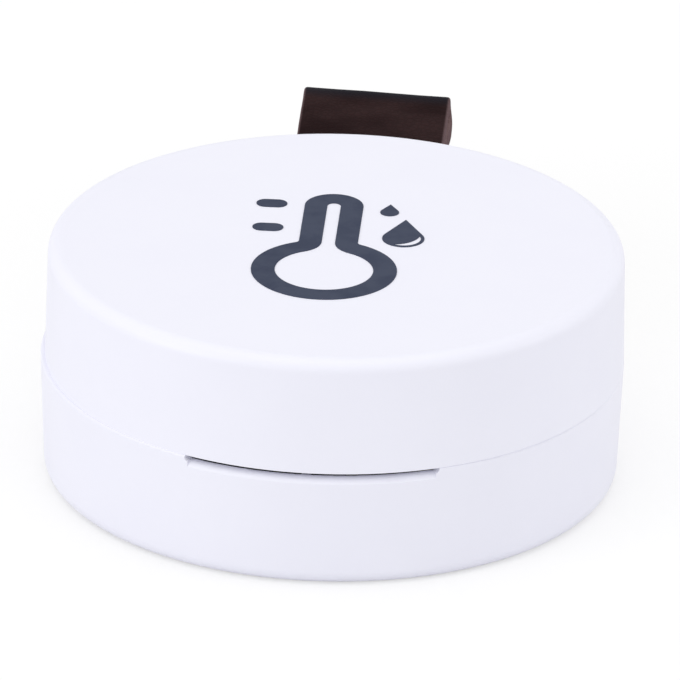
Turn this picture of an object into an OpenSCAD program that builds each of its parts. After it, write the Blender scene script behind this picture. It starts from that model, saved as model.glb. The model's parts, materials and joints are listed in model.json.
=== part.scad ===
// Round temperature and humidity sensor: a two-part moulded puck with a leather hanging loop.
// Millimetres, Z up. The origin is the centre of the underside, the vent is at -Y and the strap at +Y.
// The case is sized from the inside out: cell, holder, board, lip, wall.

/* [Coin cell] */
// Diameter of the coin cell
cell_d = 24.5; // [20:0.5:30]
// Height of the coin cell
cell_h = 7.7; // [5:0.1:9]
// Sheet thickness of the cell's can and cap
cell_sheet = 0.3; // [0.2:0.05:0.4]
// Radial width of the sealed edge round the cap
cell_edge_w = 1.45; // [1.2:0.05:2]
// Height that the cap stands out below the can
cap_stand = 0.2; // [0.1:0.05:0.4]
// Thickness of the plastic seal under the cap's flange
gasket_t = 0.5; // [0.3:0.05:0.7]
// Thickness of the lithium disc
anode_t = 1.3; // [0.8:0.1:1.6]
// Space for the separator between the two electrodes
separator_gap = 0.2; // [0.1:0.05:0.4]

/* [Cell holder] */
// Clearance between the cell and the holder's ring
cell_clear = 0.15; // [0.1:0.05:0.4]
// Wall of the holder's ring
holder_wall = 1; // [0.8:0.1:1.4]
// Floor of the holder under the cell
holder_floor = 1; // [0.8:0.1:2]
// Height of the holder's ring above its floor
holder_rim_h = 4.6; // [4.4:0.1:6]
// Radius of the window for the spring under the cell
holder_window_r = 4.6; // [4.4:0.1:7]
// Width of the finger notches in the ring
finger_notch_w = 9; // [6:0.5:12]
// Height of the finger notches' floor above the holder's floor
finger_notch_lift = 1.2; // [0.5:0.1:2]

/* [Contacts] */
// Sheet thickness of the two contacts
contact_t = 0.25; // [0.15:0.05:0.3]
// Width of the side contact
side_contact_w = 4; // [2:0.5:6]
// Height of the side contact's touching ridge above the cell's underside
side_contact_lift = 3; // [2.5:0.1:3.4]
// Half height of the ridge that bends in to the cell
side_contact_bend = 1.2; // [0.8:0.1:1.2]
// Length of the side contact's soldered foot
side_contact_foot = 1.8; // [1:0.1:2.2]
// Width of the spring under the cell
cap_contact_w = 3; // [2:0.5:4]
// Length of the spring under the cell
cap_contact_l = 7.6; // [6:0.1:8]
// Length of the spring's flat top
cap_contact_top = 2; // [1:0.5:3]
// Gap between a contact and the cell, drawn unsprung
contact_gap = 0.02; // [0.01:0.01:0.1]

/* [Board] */
// Width of the board's rim outside the holder
board_rim_w = 3.4; // [3.3:0.1:6]
// Thickness of the board
board_t = 1; // [0.6:0.1:1.6]
// Space under the board
board_gap = 3.5; // [2.5:0.1:6]
// Clearance between the board and the lid's lip
board_clear = 0.4; // [0.2:0.05:1]
// Half width of the sensor's tongue
tongue_half_w = 2.1; // [1.6:0.1:3]
// Width of the two slits beside the tongue
tongue_slit_w = 0.8; // [0.4:0.1:1.2]
// Clearance between the board and the strap's seat
board_seat_gap = 0.4; // [0.2:0.1:1]

/* [Board screws] */
// Radius of the screws' shank
screw_r = 0.8; // [0.6:0.05:1]
// Length of the shank
screw_l = 3.6; // [3:0.1:3.8]
// Radius of the screws' head
screw_head_r = 1.5; // [1.2:0.05:1.6]
// Height of the screws' head
screw_head_h = 0.9; // [0.6:0.1:1.2]
// Width of the cross recess
screw_cross_w = 0.4; // [0.3:0.05:0.5]
// Length of the cross recess
screw_cross_l = 1.8; // [1.2:0.1:2]
// Depth of the cross recess
screw_cross_h = 0.5; // [0.2:0.1:0.5]
// Clearance of the screws in the board's holes
screw_hole_clear = 0.2; // [0.1:0.05:0.3]
// Clearance of the screws in the bosses' holes
screw_pilot_clear = 0.05; // [0.02:0.01:0.1]
// Wall of the bosses round the screws
boss_wall = 1.1; // [0.8:0.1:1.3]

/* [Case] */
// Height of the base, from the underside to the parting line
base_h = 8.45; // [7.6:0.05:10]
// Thickness of the base's floor
floor_t = 1.5; // [1:0.1:2]
// Wall of the base at the parting line
base_wall = 1.6; // [1.3:0.1:3]
// How far the base's side leans in towards its foot
base_draft = 0.3; // [0:0.05:0.4]
// Radius of the base's lower edge
foot_fillet = 1; // [0.4:0.1:1.4]
// Radius of the base's upper outer edge
rim_fillet = 0.15; // [0.15:0.05:0.4]
// Thickness of the lid's top
top_t = 1.5; // [1:0.1:2.5]
// How far the lid's side stands back from the base's rim
lid_step = 0.16; // [0:0.02:0.3]
// How far the lid's side leans in towards its top
lid_draft = 0.12; // [0:0.02:0.3]
// Wall of the lid above the lip
lid_wall = 1.9; // [1.8:0.1:2.2]
// Radius of the lid's upper edge
top_fillet = 0.9; // [0.4:0.1:1.4]
// How far the lid sits to the right within the lip's clearance
lid_right = 0.15; // [0:0.01:0.15]
// How far the lid sits to the front within the lip's clearance
lid_front = 0.12; // [0:0.01:0.12]
// Gap between the cell and the lid's top
cell_headroom = 0.46; // [0.2:0.02:1]

/* [Lip] */
// Thickness of the lip
lip_t = 0.9; // [0.7:0.05:1.4]
// Depth of the lip below the parting line
lip_depth = 2; // [1:0.1:2.3]
// Height of the lip's root inside the lid
lip_root_h = 1.5; // [1:0.1:3]
// Clearance between the lip and the base's wall
lip_clear = 0.3; // [0.3:0.05:0.5]
// Radius of the ribs that grip the base's wall
grip_rib_r = 0.3; // [0.2:0.05:0.4]
// How far the ribs stand out of the lip
grip_rib_stand = 0.06; // [0.04:0.01:0.1]
// Radius of the ring that steadies the cell
hold_ring_r = 8.5; // [6:0.5:9]
// Thickness of that ring
hold_ring_t = 1; // [0.8:0.1:1.5]
// Gap between that ring and the cell
hold_ring_gap = 0.08; // [0.05:0.01:0.15]

/* [Vent] */
// Half angle of the vent round the base's rim
vent_half_a = 25.6; // [10:0.2:30]
// Depth of the vent below the parting line
vent_depth = 0.4; // [0.3:0.1:1.5]
// Radius of the vent's lower corners
vent_corner_r = 0.3; // [0.2:0.1:0.5]
// Radius of the outer edge of the vent's floor
vent_edge_r = 0.65; // [0.1:0.05:0.65]
// Wall left at the vent, thinned from the inside
vent_wall = 0.7; // [0.7:0.1:1.2]
// Height of the thinned wall below the vent's floor
vent_relief_h = 1; // [0.6:0.1:1.5]
// Width of the tooth left in the lip near the vent's middle
vent_tooth_w = 0.6; // [0.4:0.1:2]
// Angle between the tooth and the vent's middle
vent_tooth_a = 1.7; // [0:0.1:6]
// Angle by which the lip and the wall's inside are cut back past each end of the vent
vent_margin_a = 1.5; // [0.5:0.5:4]

/* [Strap] */
// Width of the leather strap
strap_w = 10.4; // [6:0.2:14]
// Thickness of the leather
strap_t = 1.3; // [0.8:0.1:1.4]
// Inner radius of the fold at the loop's end
fold_inner_r = 0.3; // [0.2:0.1:3]
// Length from the bend at the case to the fold's centre
loop_l = 18.85; // [12:0.05:40]
// Upward lean of the loop
loop_rise_a = 5.7; // [0:0.1:8]
// Distance of the bend from the case's side
bend_stand = 1.9; // [1.8:0.1:4]
// Gap between the fixed ends and the loop at the bend
bend_gap = 0.25; // [0.2:0.05:0.4]
// Gap between the strap and the lid above it
strap_cover_gap = 0.15; // [0.1:0.05:0.3]
// Gap between the strap and its seat in the base
strap_seat_gap = 0.05; // [0.02:0.01:0.1]
// Clearance at each side of the strap
strap_side_gap = 0.2; // [0.1:0.05:0.5]
// Distance of the strap's ends from the holder
strap_end_gap = 0.6; // [0.5:0.1:1]
// Radius of the post that holds the strap's ends
post_r = 1.5; // [1:0.1:1.7]
// Clearance of the strap's hole round the post
post_clear = 0.1; // [0.05:0.05:0.2]
// Distance from the strap's ends to the post's centre
post_edge = 2.3; // [2.2:0.1:2.4]

/* [Symbol] */
// Thickness of the printed ink
ink_t = 0.04; // [0.02:0.01:0.1]
// Turn of the print on the lid
symbol_turn_a = 0.7; // [-10:0.1:10]
// Middle of the thermometer, across
stem_x = -0.58; // [-3:0.02:3]
// Half width of the thermometer's stem
stem_half_w = 2.02; // [1.5:0.02:2.5]
// Half width of the stem's clear middle
bore_half_w = 0.46; // [0.3:0.02:0.8]
// Centre of the stem's round end, from the lid's centre
stem_end_y = 6.42; // [4:0.02:8]
// Centre of the bulb, from the lid's centre
bulb_y = -4.48; // [-6:0.02:-2]
// Outer radius of the bulb
bulb_r = 4.98; // [4:0.02:6]
// Inner radius of the bulb
bulb_inner_r = 3.36; // [2.8:0.02:3.8]
// Radius where the stem's side meets the bulb
neck_fillet = 0.35; // [0.1:0.05:1]
// Radius where the stem's clear middle meets the bulb's
neck_inner_fillet = 1.9; // [0.5:0.1:2.5]
// Length of the dashes
dash_l = 2.13; // [1.5:0.01:3]
// Height of the dashes
dash_h = 1.3; // [0.8:0.02:1.4]
// Middle of the dashes, across
dash_x = -4.87; // [-7:0.01:-4]
// Heights of the two dashes, from the lid's centre
dash_ys = [6.46, 2.39];
// Radius of the small drop
small_drop_r = 0.65; // [0.4:0.01:0.8]
// Centre of the small drop's round end
small_drop_at = [3.28, 5.73];
// Distance from that centre to the small drop's tip
small_drop_tip = 1.32; // [1:0.01:2]
// Radius of the large drop
large_drop_r = 1.45; // [1:0.01:1.6]
// Centre of the large drop's round end
large_drop_at = [4.48, 1.37];
// Distance from that centre to the large drop's tip
large_drop_tip = 3.18; // [2.5:0.01:4]
// Rim of ink outside the large drop's highlight
glint_rim = 0.24; // [0.1:0.01:0.4]
// Radius of the arc inside the highlight
glint_arc_r = 1.93; // [1.7:0.01:2.2]
// Centre of that arc, from the centre of the drop's round end
glint_arc_at = [-0.78, 0.9];

/* [Parts on the board] */
// Size of the sensor chip
sensor_size = [2.5, 2.5, 0.9];
// Radius of the sensor's window
sensor_window_r = 0.5; // [0.3:0.05:1]
// Depth of the sensor's window
sensor_window_h = 0.4; // [0.2:0.05:0.6]
// Size of the radio chip
radio_size = [5, 5, 0.85];
// Middle of the radio chip
radio_at = [-4, -2.5];
// Size of the radio crystal
radio_crystal_size = [3.2, 2.5, 0.7];
// Middle of the radio crystal
radio_crystal_at = [2.6, -4];
// Size of the clock crystal
clock_crystal_size = [3.2, 1.5, 0.75];
// Middle of the clock crystal
clock_crystal_at = [2.6, -0.6];
// Size of the lamp
led_size = [1.6, 0.8, 0.6];
// Direction of the lamp from the centre
led_a = 300; // [295:1:312]
// Size of each chip capacitor
capacitor_size = [0.8, 1.6, 0.8];
// Number of chip capacitors
capacitor_count = 7; // [2:1:8]
// Size of each chip resistor
resistor_size = [0.5, 1, 0.35];
// Number of chip resistors
resistor_count = 6; // [2:1:8]
// Spacing of the chip parts in a row
chip_pitch = 1.7; // [1.2:0.1:2]
// Rows of the capacitors and the resistors
chip_row_ys = [3.2, 6.2];
// Thickness of the aerial's copper
aerial_t = 0.05; // [0.03:0.01:0.1]
// Width of the aerial's track
aerial_w = 0.4; // [0.2:0.05:0.6]
// Distance of the aerial from the board's edge
aerial_edge = 0.5; // [0.3:0.05:0.8]
// Distance of the aerial's ends from the screw and from the slit
aerial_gap = 0.8; // [0.4:0.1:1.5]
// Angle between the aerial's feed and its ground leg
aerial_leg_a = 6; // [4:0.5:10]

/* [Pairing switch] */
// Size of the switch's body
switch_size = [2.6, 3.4, 1];
// Radius of the well in the switch's body
switch_well_r = 1.1; // [1:0.05:1.15]
// Floor of the switch's body
switch_floor = 0.3; // [0.2:0.05:0.35]
// Thickness of the switch's steel cover
switch_cover_t = 0.2; // [0.1:0.05:0.3]
// Radius of the plunger
plunger_r = 0.75; // [0.5:0.05:0.8]
// Radius of the plunger's collar
plunger_collar_r = 0.98; // [0.95:0.01:0.98]
// Thickness of the plunger's collar
plunger_collar_t = 0.2; // [0.1:0.05:0.2]
// Height of the plunger above the cover
plunger_stand = 0.7; // [0.4:0.1:1.5]
// Gap between the plunger's parts and what guides them
plunger_gap = 0.06; // [0.03:0.01:0.1]
// Thickness of the snap dome
dome_t = 0.08; // [0.05:0.01:0.1]

/* [Hidden] */
$fn = 96;
shell_color = [0.93, 0.93, 0.97];
ink_color = [0.27, 0.31, 0.38];
steel_color = [0.72, 0.72, 0.74];
leather_color = [0.19, 0.13, 0.13];
part_color = [0.15, 0.15, 0.16];

// Radii, from the cell outwards
cell_r = cell_d / 2;
pocket_r = cell_r + cell_clear;
holder_r = pocket_r + holder_wall;
board_r = holder_r + board_rim_w;
rim_mid_r = (holder_r + board_r) / 2;
lip_in_r = board_r + board_clear;
lip_out_r = lip_in_r + lip_t;
bore_r = lip_out_r + lip_clear;
case_r = bore_r + base_wall;
foot_r = case_r - base_draft;
lid_r = case_r - lid_step;
lid_top_r = lid_r - lid_draft;

// Heights, from the underside upwards
board_z = floor_t + board_gap;
board_top = board_z + board_t;
cell_z = board_top + holder_floor;
cell_top = cell_z + cell_h;
ceiling_z = cell_top + cell_headroom;
case_h = ceiling_z + top_t;
lip_z = base_h - lip_depth;
vent_z = base_h - vent_depth;
strap_top = base_h - strap_cover_gap;
strap_mid = strap_top - strap_t;
strap_bottom = strap_mid - strap_t;
seat_z = strap_bottom - strap_seat_gap;
post_top = strap_top + strap_cover_gap / 2;

// Places of the strap, along Y
strap_end_y = holder_r + strap_end_gap;
post_y = strap_end_y + post_edge;
bend_y = case_r + bend_stand;
strap_slot_w = strap_w + 2 * strap_side_gap;

// Directions from the centre, anticlockwise from +X
vent_a = 270;
vent_clear_half_a = vent_half_a + vent_margin_a;
screw_as = [40, 140, 214, 326];
grip_rib_as = [0, 40, 140, 180, 220, 320];
side_contact_a = 180;
switch_a = 0;

// A small length by which cuts reach past the faces that they open
past = 1;

// A small length by which a round edge ends outside the side, so that the two meet at an angle
round_past = 0.03;

// Share of the vent's round ends that its flat floor runs on into, so that the two meet at an angle
floor_share = 0.25;

// Where the lid sits on the base
lid_shift = [lid_right, -lid_front, 0];

// A ring of rectangular section
module ring(r_in, r_out, z, h) {
    translate([0, 0, z]) difference() {
        cylinder(r = r_out, h = h);
        translate([0, 0, -past]) cylinder(r = r_in, h = h + 2 * past);
    }
}

// Part of such a ring between two directions
module ring_sector(r_in, r_out, z, h, a_from, a_to) {
    rotate([0, 0, a_from]) rotate_extrude(angle = a_to - a_from)
        translate([r_in, z]) square([r_out - r_in, h]);
}

// A block centred in plan on a point, standing on a height
module block(at, size, z) {
    translate([at.x - size.x / 2, at.y - size.y / 2, z]) cube(size);
}

// Children set out at a radius and turned to a direction
module at_rim(r, a) {
    rotate([0, 0, a]) translate([r, 0, 0]) children();
}

// The base's outer side, with its foot and its rim rounded
module base_outline() {
    polygon([[0, 0], [foot_r - foot_fillet, 0], [foot_r - foot_fillet, foot_fillet], [foot_r, foot_fillet],
        [case_r, base_h - rim_fillet], [case_r - rim_fillet, base_h - rim_fillet],
        [case_r - rim_fillet, base_h], [0, base_h]]);
    translate([foot_r - foot_fillet, foot_fillet]) circle(foot_fillet);
    translate([case_r - rim_fillet, base_h - rim_fillet]) circle(rim_fillet);
}

// The seat under the strap's ends, joined to the base's wall
module strap_seat() {
    intersection() {
        block([0, strap_end_y + case_r / 2], [strap_slot_w, case_r, seat_z - floor_t + past], floor_t - past);
        cylinder(r = bore_r + base_wall / 4, h = seat_z);
    }
}

// The vent's section: open to the inside and the outside, with a round edge outside
module vent_section() {
    translate([bore_r - past / 2, vent_z]) square([base_wall + past, vent_depth + past]);
    translate([case_r + round_past - vent_edge_r, vent_z - vent_edge_r]) difference() {
        square(vent_edge_r + past / 2);
        circle(vent_edge_r);
    }
}

// The vent's end seen from outside, round at the bottom
module vent_end() {
    translate([0, vent_z + vent_corner_r]) circle(vent_corner_r);
    translate([-vent_corner_r, vent_z + vent_corner_r]) square([2 * vent_corner_r, vent_depth + past]);
}

// The cut that makes the vent in the base's rim, and the thinner wall behind it
module vent() {
    corner_a = asin(vent_corner_r / case_r);
    floor_a = vent_half_a - (1 - floor_share) * corner_a;
    rotate([0, 0, vent_a - floor_a]) rotate_extrude(angle = 2 * floor_a) vent_section();
    for (side = [-1, 1]) at_rim(bore_r - past / 2, vent_a + side * (vent_half_a - corner_a))
        rotate([90, 0, 90]) linear_extrude(base_wall + past) vent_end();
    ring_sector(bore_r - past / 2, case_r - vent_wall, vent_z - vent_relief_h,
        vent_depth + vent_relief_h + past, vent_a - vent_clear_half_a, vent_a + vent_clear_half_a);
}

module case_base() color(shell_color) difference() {
    union() {
        rotate_extrude() difference() {
            base_outline();
            translate([0, floor_t]) square([bore_r, base_h]);
        }
        for (a = screw_as) at_rim(rim_mid_r, a) cylinder(r = screw_r + boss_wall, h = board_z);
        strap_seat();
        translate([0, post_y, 0]) cylinder(r = post_r, h = post_top);
    }
    for (a = screw_as) at_rim(rim_mid_r, a) translate([0, 0, floor_t / 2])
        cylinder(r = screw_r + screw_pilot_clear, h = board_z);
    vent();
    difference() {
        block([0, post_y + case_r / 2], [strap_slot_w, case_r, base_h], seat_z);
        cylinder(r = bore_r - past / 2, h = case_h);
    }
}

// The lid's outer side, with its upper edge rounded
module lid_outline() {
    polygon([[0, base_h], [lid_r, base_h], [lid_top_r, case_h - top_fillet],
        [lid_top_r - top_fillet, case_h - top_fillet], [lid_top_r - top_fillet, case_h], [0, case_h]]);
    translate([lid_top_r - top_fillet, case_h - top_fillet]) circle(top_fillet);
}

// Half angle of the vent's tooth
tooth_half_a = asin(vent_tooth_w / 2 / lip_out_r);

module lip() difference() {
    union() {
        ring(lip_in_r, lip_out_r, lip_z, lip_depth + lip_root_h);
        for (a = grip_rib_as) at_rim(lip_out_r + grip_rib_stand - grip_rib_r, a) translate([0, 0, lip_z])
            cylinder(r = grip_rib_r, h = lip_depth);
    }
    for (side = [-1, 1]) {
        near = vent_a - vent_tooth_a + side * tooth_half_a;
        far = vent_a + side * vent_clear_half_a;
        ring_sector(lip_in_r - past, bore_r, lip_z - past, lip_depth + past, min(near, far), max(near, far));
    }
    block([0, case_r / 2], [strap_slot_w + 2 * strap_side_gap, case_r, base_h - lip_z + past], lip_z - past);
}

module case_lid() color(shell_color) translate(lid_shift) union() {
    rotate_extrude() difference() {
        lid_outline();
        translate([0, base_h - past]) square([lid_r - lid_wall, ceiling_z - base_h + past]);
    }
    lip();
    ring(hold_ring_r - hold_ring_t / 2, hold_ring_r + hold_ring_t / 2, cell_top + hold_ring_gap,
        cell_headroom - hold_ring_gap + top_t / 2);
}

// A drop with straight sides from its round end to its tip
module drop(r, tip) {
    a = asin(r / tip);
    circle(r);
    polygon([[r * cos(a), r * sin(a)], [0, tip], [-r * cos(a), r * sin(a)], [0, 0]]);
}

// The corner between a stem's side and a round bulb below it, filled with an arc, on both sides
module neck(half_w, r, fillet) {
    out_x = half_w + fillet;
    out_y = sqrt(pow(r + fillet, 2) - pow(out_x, 2));
    share = r / (r + fillet);
    for (side = [0, 1]) mirror([side, 0, 0]) difference() {
        polygon([[0, 0], [out_x * share, out_y * share], [out_x, out_y], [half_w, out_y], [0, out_y]]);
        translate([out_x, out_y]) circle(fillet);
    }
}

// A thermometer's outline: a stem with a round end on a round bulb
module stem_and_bulb(half_w, r, fillet) {
    stem_l = stem_end_y - bulb_y;
    circle(r);
    translate([-half_w, 0]) square([2 * half_w, stem_l]);
    translate([0, stem_l]) circle(half_w);
    neck(half_w, r, fillet);
}

module dash() {
    straight = dash_l - dash_h;
    square([straight, dash_h], center = true);
    for (side = [-1, 1]) translate([side * straight / 2, 0]) circle(dash_h / 2);
}

// The clear crescent in the large drop
module glint() difference() {
    circle(large_drop_r - glint_rim);
    translate(glint_arc_at) circle(glint_arc_r);
}

module printed_symbol() color(ink_color)
translate(lid_shift + [0, 0, case_h]) rotate([0, 0, symbol_turn_a]) linear_extrude(ink_t) {
    translate([stem_x, bulb_y]) difference() {
        stem_and_bulb(stem_half_w, bulb_r, neck_fillet);
        stem_and_bulb(bore_half_w, bulb_inner_r, neck_inner_fillet);
    }
    for (y = dash_ys) translate([dash_x, y]) dash();
    translate(small_drop_at) drop(small_drop_r, small_drop_tip);
    translate(large_drop_at) difference() {
        drop(large_drop_r, large_drop_tip);
        glint();
    }
}

module circuit_board() color([0.07, 0.16, 0.12]) difference() {
    translate([0, 0, board_z]) cylinder(r = board_r, h = board_t);
    for (a = screw_as) at_rim(rim_mid_r, a) cylinder(r = screw_r + screw_hole_clear, h = case_h);
    for (side = [-1, 1])
        block([side * (tongue_half_w + tongue_slit_w / 2), -board_r],
            [tongue_slit_w, 2 * board_rim_w, case_h], 0);
    block([0, strap_end_y - board_seat_gap + board_r / 2],
        [strap_slot_w + 2 * board_seat_gap, board_r, case_h], 0);
}

module board_screws() color(steel_color) for (a = screw_as) at_rim(rim_mid_r, a) translate([0, 0, board_top])
difference() {
    union() {
        cylinder(r = screw_head_r, h = screw_head_h);
        translate([0, 0, -screw_l]) cylinder(r = screw_r, h = screw_l + screw_head_h / 2);
    }
    for (turn = [0, 90]) rotate([0, 0, turn])
        block([0, 0], [screw_cross_l, screw_cross_w, screw_head_h], screw_head_h - screw_cross_h);
}

module cell_holder() color(part_color) difference() {
    union() {
        ring(holder_window_r, holder_r, board_top, holder_floor);
        ring(pocket_r, holder_r, board_top, holder_floor + holder_rim_h);
    }
    block([0, 0], [finger_notch_w, 3 * holder_r, holder_rim_h], cell_z + finger_notch_lift);
    rotate([0, 0, side_contact_a]) block([pocket_r + holder_wall / 2, 0],
        [holder_wall + 2 * cell_clear, side_contact_w + 2 * cell_clear, case_h], board_top - past);
}

// The side contact's strip, seen along its width: foot, upright and the ridge that bends in to the cell
module side_contact_profile() {
    back = pocket_r + holder_wall / 2 + contact_t;
    front = back - contact_t;
    touch = cell_r + contact_gap;
    ridge_z = cell_z + side_contact_lift;
    low_z = ridge_z - side_contact_bend;
    high_z = ridge_z + side_contact_bend;
    polygon([[front, board_top], [back + side_contact_foot, board_top],
        [back + side_contact_foot, board_top + contact_t], [back, board_top + contact_t], [back, low_z],
        [touch + contact_t, ridge_z], [back, high_z], [front, high_z], [touch, ridge_z], [front, low_z]]);
}

module positive_contact() color(steel_color) rotate([0, 0, side_contact_a])
    translate([0, side_contact_w / 2, 0]) rotate([90, 0, 0]) linear_extrude(side_contact_w)
        side_contact_profile();

// The spring under the cell: a flat foot at each end and a raised middle
module cap_contact_profile() {
    end = cap_contact_l / 2;
    foot = end - contact_t * 2;
    top = cap_contact_top / 2;
    touch = cell_z - contact_gap;
    polygon([[-end, board_top], [-foot, board_top], [-top, touch - contact_t], [top, touch - contact_t],
        [foot, board_top], [end, board_top], [end, board_top + contact_t], [foot, board_top + contact_t],
        [top, touch], [-top, touch], [-foot, board_top + contact_t], [-end, board_top + contact_t]]);
}

module negative_contact() color(steel_color) translate([0, cap_contact_w / 2, 0]) rotate([90, 0, 0])
    linear_extrude(cap_contact_w) cap_contact_profile();

// Radii and heights inside the cell
cap_r = cell_r - cell_edge_w;
can_inner_r = cell_r - cell_sheet;
crimp_r = (cap_r + can_inner_r) / 2;
can_z = cell_z + cap_stand;
crimp_top = can_z + cell_sheet;
flange_z = crimp_top + gasket_t;
flange_r = (crimp_r + can_inner_r) / 2;
anode_top = cell_z + cell_sheet + anode_t;

module cell_can() color(steel_color) rotate_extrude() {
    polygon([[crimp_r, can_z], [cell_r, can_z], [cell_r, cell_top - cell_sheet],
        [can_inner_r, cell_top - cell_sheet], [can_inner_r, crimp_top], [crimp_r, crimp_top]]);
    polygon([[0, cell_top - cell_sheet], [can_inner_r, cell_top - cell_sheet], [can_inner_r, cell_top],
        [0, cell_top]]);
    intersection() {
        translate([can_inner_r, cell_top - cell_sheet]) circle(cell_sheet);
        translate([can_inner_r, cell_top - cell_sheet]) square(cell_sheet);
    }
}

module cell_cap() color(steel_color) rotate_extrude()
    polygon([[0, cell_z], [cap_r, cell_z], [cap_r, flange_z], [flange_r, flange_z],
        [flange_r, flange_z + cell_sheet], [cap_r - cell_sheet, flange_z + cell_sheet],
        [cap_r - cell_sheet, cell_z + cell_sheet], [0, cell_z + cell_sheet]]);

module cell_gasket() color([0.2, 0.2, 0.24]) rotate_extrude()
    polygon([[cap_r, can_z], [crimp_r, can_z], [crimp_r, crimp_top], [can_inner_r, crimp_top],
        [can_inner_r, flange_z + 2 * gasket_t], [flange_r, flange_z + 2 * gasket_t], [flange_r, flange_z],
        [cap_r, flange_z]]);

module cell_anode() color([0.78, 0.78, 0.8]) translate([0, 0, cell_z + cell_sheet])
    cylinder(r = cap_r - cell_sheet, h = anode_t);

module cell_cathode() color([0.12, 0.12, 0.13]) translate([0, 0, anode_top + separator_gap])
    cylinder(r = flange_r, h = cell_top - cell_sheet - anode_top - separator_gap);

module humidity_sensor() color(part_color) translate([0, -rim_mid_r, 0]) difference() {
    block([0, 0], sensor_size, board_top);
    translate([0, 0, board_top + sensor_size.z - sensor_window_h])
        cylinder(r = sensor_window_r, h = sensor_window_h + past);
}

// A part soldered under the board
module under_board(at, size) block(at, size, board_z - size.z);

// A row of equal parts under the board
module chip_row(count, size, y) {
    for (i = [0:count - 1]) under_board([(i - (count - 1) / 2) * chip_pitch, y], size);
}

module radio_chip() color(part_color) under_board(radio_at, radio_size);
module radio_crystal() color(steel_color) under_board(radio_crystal_at, radio_crystal_size);
module clock_crystal() color(steel_color) under_board(clock_crystal_at, clock_crystal_size);
module chip_capacitors() color([0.62, 0.5, 0.38]) chip_row(capacitor_count, capacitor_size, chip_row_ys[0]);
module chip_resistors() color(part_color) chip_row(resistor_count, resistor_size, chip_row_ys[1]);

module antenna_trace() color([0.72, 0.5, 0.25]) {
    track_out = board_r - aerial_edge;
    track_in = track_out - aerial_w;
    leg_a = aerial_w / track_in * 180 / PI;
    from_a = screw_as[2] + asin((screw_head_r + aerial_gap) / rim_mid_r);
    to_a = vent_a - asin((tongue_half_w + tongue_slit_w + aerial_gap) / track_in);
    ring_sector(track_in, track_out, board_top, aerial_t, from_a, to_a);
    for (a = [from_a, from_a + aerial_leg_a])
        ring_sector(holder_r + aerial_edge, track_in + aerial_w / 2, board_top, aerial_t, a, a + leg_a);
}

module status_led() color([0.9, 0.88, 0.8]) at_rim(rim_mid_r, led_a) rotate([0, 0, 90])
    block([0, 0], led_size, board_top);

// Heights of the pairing switch
switch_top = board_top + switch_size.z;
dome_z = board_top + switch_floor;
collar_z = switch_top - plunger_gap / 2 - plunger_collar_t;

module switch_body() color(part_color) at_rim(rim_mid_r, switch_a) difference() {
    block([0, 0], switch_size, board_top);
    translate([0, 0, dome_z]) cylinder(r = switch_well_r, h = switch_size.z);
}

module switch_dome() color(steel_color) at_rim(rim_mid_r, switch_a) rotate_extrude() {
    edge = switch_well_r - plunger_gap;
    crown = collar_z - plunger_gap / 2;
    polygon([[0, crown - dome_t], [edge - dome_t, dome_z], [edge, dome_z],
        [edge, dome_z + dome_t], [0, crown]]);
}

module switch_plunger() color([0.85, 0.83, 0.78]) at_rim(rim_mid_r, switch_a) {
    translate([0, 0, collar_z]) cylinder(r = plunger_collar_r, h = plunger_collar_t);
    translate([0, 0, collar_z])
        cylinder(r = plunger_r, h = switch_top + switch_cover_t + plunger_stand - collar_z);
}

module switch_cover() color(steel_color) at_rim(rim_mid_r, switch_a) difference() {
    block([0, 0], [switch_size.x, switch_size.y, switch_cover_t], switch_top);
    cylinder(r = plunger_r + plunger_gap, h = case_h);
}

// Places a profile drawn along the strap and upwards, and gives it the strap's width
module across_strap() {
    translate([-strap_w / 2, 0, 0]) rotate([90, 0, 90]) linear_extrude(strap_w) children();
}

// The two ends of the strap, one on the other, pegged on the post and rounded where the loop bends
module strap_root() color(leather_color) difference() {
    across_strap() {
        translate([strap_end_y, strap_bottom]) square([bend_y - strap_end_y, 2 * strap_t]);
        translate([bend_y, strap_mid]) circle(strap_t);
    }
    translate([0, post_y, 0]) cylinder(r = post_r + post_clear, h = case_h);
}

// A point at a radius and a direction
function polar(r, a) = r * [cos(a), sin(a)];

// The loop seen from the side: two layers that part from the bend and join round the fold
module loop_profile() {
    spread_a = asin(fold_inner_r / loop_l);
    turn_a = 90 + spread_a;
    fold_r = fold_inner_r + strap_t;
    fold_steps = 24;
    shares = [for (i = [0:fold_steps]) 1 - 2 * i / fold_steps];
    fold = [loop_l, 0];
    outside = [for (share = shares) fold + polar(fold_r, share * turn_a)];
    inside = [for (share = shares) fold + polar(fold_inner_r, -share * turn_a)];
    difference() {
        polygon(concat([polar(strap_t, turn_a)], outside,
            [polar(strap_t, -turn_a), polar(strap_t, -spread_a)], inside, [polar(strap_t, spread_a)]));
        circle(strap_t + bend_gap);
    }
}

module strap_loop() color(leather_color) across_strap()
    translate([bend_y, strap_mid]) rotate(loop_rise_a) loop_profile();

case_base();
case_lid();
printed_symbol();
circuit_board();
board_screws();
cell_holder();
positive_contact();
negative_contact();
cell_can();
cell_cap();
cell_gasket();
cell_anode();
cell_cathode();
humidity_sensor();
radio_chip();
radio_crystal();
clock_crystal();
antenna_trace();
status_led();
switch_body();
switch_dome();
switch_plunger();
switch_cover();
chip_capacitors();
chip_resistors();
strap_root();
strap_loop();
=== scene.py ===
import json
import math

import bmesh
import bpy
from mathutils import Matrix, Vector


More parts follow.
